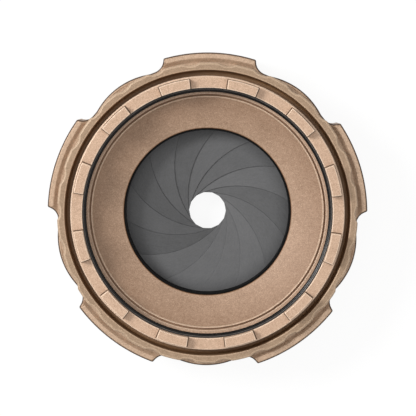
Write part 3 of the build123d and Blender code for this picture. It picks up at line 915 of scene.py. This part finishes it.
leaf_height = middle_height + (section[:, 1][:, None] + half_thickness) * thickness_share
turn_to_rest = 2 * math.asin((LEAF_INNER - REST_APERTURE) / 2 / PIVOT_RADIUS)


def leaf_steel(name):
    """Blackened spring steel, satin, with a fine brushed grain along each leaf, a darker band along
    its inner edge, painted shade of the seam where it lies on its neighbour, and painted shade
    towards the wall round the leaves. along is the distance along the leaf, over is the distance
    across it, and tone is one number for each leaf."""
    finish = Finish(name)
    along = finish.attribute("along")
    over = finish.attribute("over")
    tone = finish.attribute("tone")
    place = finish.place()
    brushed = finish.node("ShaderNodeCombineXYZ", {}, {0: along * 1.1, 1: over * 5.5, 2: tone * 40.0})
    grain = finish.noise(brushed.outputs[0], 1.0, detail=4.0, roughness=0.65)
    haze = finish.noise(place, 0.35, detail=3.0, roughness=0.5)
    speck = finish.noise(place, 4.0, detail=2.0, roughness=0.6)
    shade = 0.73 + tone * 0.42 + (grain - 0.5) * 0.5 + (haze - 0.5) * 0.3 + (speck - 0.5) * 0.3
    apart = finish.node("ShaderNodeSeparateXYZ", {}, {0: place})
    x, y = (Value(finish, apart.outputs[n]) for n in range(2))
    # Darker towards the wall round the leaves: painted shade.
    painted_wall_shade = (x * x + y * y).root().band(11.4, 13.9)
    shade = shade - painted_wall_shade * 0.2
    dark = finish.mix(shade * 0.5, linear(24, 24, 25), linear(128, 128, 129))
    # A darker band along the inner edge: painted shade of the seam where the leaf lies on its neighbour.
    cut = 1 - over.band(0.01, 0.08)
    base = finish.mix(cut * 0.2, dark, linear(22, 22, 22))
    return finish.surface({
        "Base Color": base,
        "Roughness": 0.5 + (grain - 0.5) * 0.16 + (haze - 0.5) * 0.1,
        "Metallic": 0.35,
        "Normal": finish.bump(grain * 0.7 + speck * 0.3, strength=0.12, distance=0.00002),
    })


leaf_finish = leaf_steel("leaf_steel")
tones = np.random.default_rng(302474).uniform(0, 1, LEAF_COUNT)
curve = np.radians(leaf_angles)[None, :]
from_pivot = leaf_radius * np.cos(curve) - PIVOT_RADIUS + 1j * (leaf_radius * np.sin(curve))
to_rest = np.exp(1j * turn_to_rest)
at_rest = from_pivot * to_rest + PIVOT_RADIUS
for n in range(LEAF_COUNT):
    node = f"leaf_{n + 1:02d}"
    to_place = np.exp(1j * math.radians(FIRST_PIVOT + n * 360 / LEAF_COUNT))
    placed = at_rest * to_place
    grid = np.stack([placed.real, placed.imag, leaf_height], -1)
    leaf = closed_surface(node + "_blade", grid, 0.0, open_ends=True)
    points = np.zeros(len(leaf.data.vertices) * 3)
    leaf.data.vertices.foreach_get("co", points)
    points = points.reshape(-1, 3) / MM
    flat = (points[:, 0] + 1j * points[:, 1]) * to_place.conjugate()
    flat = (flat - PIVOT_RADIUS) * to_rest.conjugate() + PIVOT_RADIUS
    lengths = {
        "along": np.angle(flat) * PIVOT_RADIUS,
        "over": np.abs(flat) - LEAF_INNER,
        "tone": np.full(len(flat), tones[n]),
    }
    for name, values in lengths.items():
        layer = leaf.data.attributes.new(name, "FLOAT", "POINT")
        layer.data.foreach_set("value", values.astype(np.float32))
    fit(leaf, node, leaf_finish, node)

# Small parts: plain steel pins riveted to the leaves, blackened steel screws that join the grip
# ring to the cam ring and hold the cover on, and a pale polymer washer that makes the grip drag.

pin_finish = plain_steel("pin_steel", linear(150, 150, 152), 0.35)
screw_finish = plain_steel("black_steel", linear(62, 60, 58), 0.38)
for n in range(LEAF_COUNT):
    refinish(f"leaf_{n + 1:02d}_pins", pin_finish)
refinish("drive_screws", screw_finish)
refinish("cover_screws", screw_finish)


def drag_washer(name):
    """A pale low-friction polymer, slightly mottled and rubbed."""
    finish = Finish(name)
    cloud = finish.noise(finish.place(), 1.5, detail=3.0)
    return finish.surface({
        "Base Color": finish.mix(cloud, linear(205, 204, 196), linear(232, 231, 225)),
        "Roughness": 0.5 + (cloud - 0.5) * 0.2,
    })


refinish("friction_washer", drag_washer("white_polymer"))

# Front cover: a turned aluminium plate screwed to the end of the housing. Its flange carries the
# grip ring, and it is anodised like the housing.

cover_finish = anodised(
    "tan_cover", linear(197, 167, 141), linear(156, 127, 102), linear(218, 189, 162), rough=0.55
)
refinish("front_cover", cover_finish)

# The setting: a plain white floor, a pale even room, a soft lamp high on the left and a wide weak
# one above. The floor gives its own white only to the camera and in reflections, and keeps the
# shadow. The measures of the setting are in metres.

FLOOR_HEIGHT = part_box("front_cover")[0].z - 0.01 * MM
FLOOR_HALF_SIDE = 2.0
FLOOR_GLOW = 0.91
WHITE = (1.0, 1.0, 1.0, 1.0)


def pale_floor(name):
    """Diffuse white, with an even glow added for rays from the camera, glossy and clear surfaces."""
    finish = Finish(name)
    path = finish.node("ShaderNodeLightPath")
    seen = Value(finish, path.outputs["Is Camera Ray"]).maths(
        "MAXIMUM", path.outputs["Is Camera Ray"], path.outputs["Is Glossy Ray"]
    )
    seen = seen.maths("MAXIMUM", seen, path.outputs["Is Transmission Ray"])
    lit = finish.node("ShaderNodeBsdfDiffuse", {}, {"Color": (0.6, 0.6, 0.6, 1.0)})
    faint = finish.node("ShaderNodeBsdfDiffuse", {}, {"Color": (0.11, 0.11, 0.11, 1.0)})
    glow = finish.node("ShaderNodeEmission", {}, {"Color": WHITE, "Strength": FLOOR_GLOW})
    both = finish.node("ShaderNodeAddShader", {}, {0: faint.outputs[0], 1: glow.outputs[0]})
    return finish.shown(
        finish.node("ShaderNodeMixShader", {}, {0: seen, 1: lit.outputs[0], 2: both.outputs[0]})
    )


floor_mesh = bpy.data.meshes.new("floor")
floor_corners = [
    (x * FLOOR_HALF_SIDE, y * FLOOR_HALF_SIDE, FLOOR_HEIGHT)
    for x, y in ((-1, -1), (1, -1), (1, 1), (-1, 1))
]
floor_mesh.from_pydata(floor_corners, [], [(0, 1, 2, 3)])
floor = bpy.data.objects.new("floor", floor_mesh)
floor_mesh.materials.append(pale_floor("floor_white"))
bpy.context.scene.collection.objects.link(floor)

ROOM_STRENGTH = 0.36
bpy.context.scene.world = bpy.data.worlds.new("pale_room")
air = Finish("pale_room", bpy.context.scene.world)
air_path = air.node("ShaderNodeLightPath")
room = air.node("ShaderNodeBackground", {}, {"Color": WHITE, "Strength": ROOM_STRENGTH})
beyond = air.node("ShaderNodeBackground", {}, {"Color": WHITE, "Strength": 1.0})
air.shown(air.node(
    "ShaderNodeMixShader",
    {},
    {0: air_path.outputs["Is Camera Ray"], 1: room.outputs[0], 2: beyond.outputs[0]},
))


def aim(thing, place, target):
    """Puts a lamp or camera at a place, looking at the target, with its own X level with world X."""
    back = Vector(place) - Vector(target)
    back.normalize()
    right = Vector((1, 0, 0)) - back * back.x
    right.normalize()
    turn = Matrix((right, back.cross(right), back)).transposed()
    thing.location = place
    thing.rotation_euler = turn.to_euler()


def disc_lamp(name, size, energy, place):
    """A round lamp of a width in metres and a power in watts, aimed at the part."""
    light = bpy.data.lights.new(name, "AREA")
    light.shape = "DISK"
    light.size = size
    light.energy = energy
    lamp = bpy.data.objects.new(name, light)
    bpy.context.scene.collection.objects.link(lamp)
    aim(lamp, place, (0, 0, 0))


disc_lamp("soft_lamp", size=0.24, energy=3.0, place=(-0.43, 0.19, 0.47))
disc_lamp("high_lamp", size=1.0, energy=2.2, place=(0.1, 0, 0.8))

CAMERA_DISTANCE = 0.40
CAMERA_TILT = math.radians(3.0)
PIXEL = 0.1643 * MM
FRAME_PIXELS = 416
SENSOR_WIDTH = 36.0
camera_data = bpy.data.cameras.new("camera")
camera_data.sensor_fit = "HORIZONTAL"
camera_data.sensor_width = SENSOR_WIDTH
camera_data.lens = SENSOR_WIDTH / (FRAME_PIXELS * PIXEL) * CAMERA_DISTANCE
camera_data.clip_start = 0.01
camera_data.clip_end = 20.0
camera = bpy.data.objects.new("camera", camera_data)
bpy.context.scene.collection.objects.link(camera)
bpy.context.scene.camera = camera
target = (0.000085, 0.000775, 0.0015)
place = (
    target[0],
    target[1] + CAMERA_DISTANCE * math.sin(CAMERA_TILT),
    target[2] + CAMERA_DISTANCE * math.cos(CAMERA_TILT),
)
aim(camera, place, target)
bpy.context.scene.view_settings.view_transform = "Standard"
